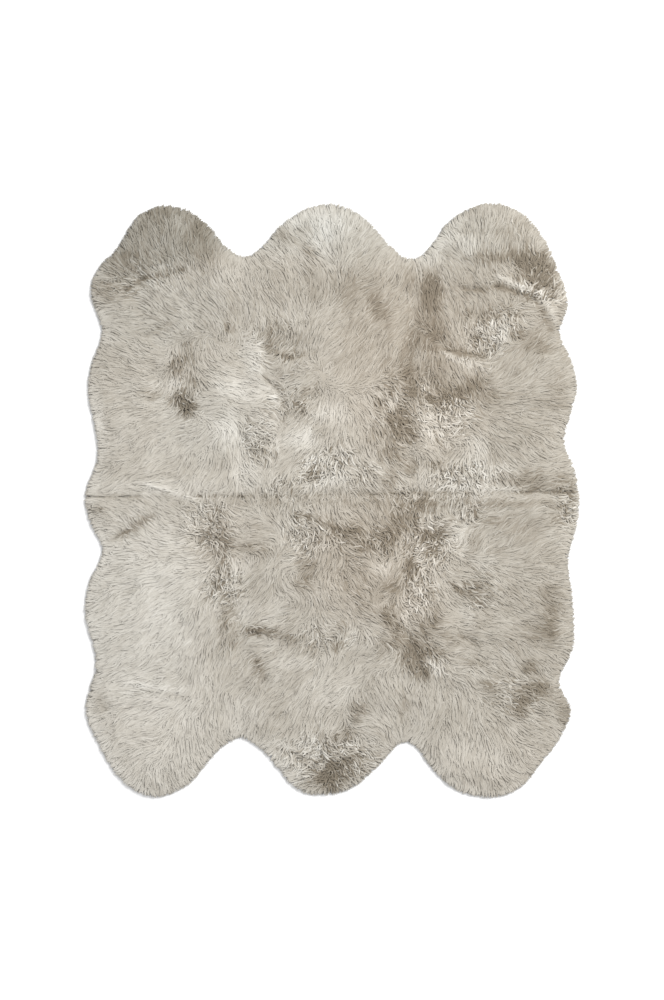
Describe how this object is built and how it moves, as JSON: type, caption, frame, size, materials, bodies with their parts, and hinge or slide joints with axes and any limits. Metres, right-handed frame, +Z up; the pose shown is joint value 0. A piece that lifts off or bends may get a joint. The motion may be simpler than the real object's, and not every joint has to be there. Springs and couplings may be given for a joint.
{
  "type": "sheepskin rug",
  "caption": "Soft floor rug of sheepskin pelts sewn edge to edge, with thick brushed wool above a flat hide underside and a wavy, lobed free edge.",
  "frame": {"origin": "on the floor, under the middle of the rug's overall box", "axes": "+X across the three columns of pelts, +Y along the two rows towards the top of the picture, +Z up out of the wool"},
  "size_m": [1.6468, 1.9758, 0.0491],
  "materials": {
    "wool": "soft brushed wool pile in pale greige, darker where it lies open",
    "hide": "matt suede flesh side of the hide, as seen from below"
  },
  "bodies": {
    "root": {"pelt_top_left": "wool", "pelt_top_middle": "wool", "pelt_top_right": "wool", "pelt_bottom_left": "wool", "pelt_bottom_middle": "wool", "pelt_bottom_right": "wool"}
  },
  "joints": []
}
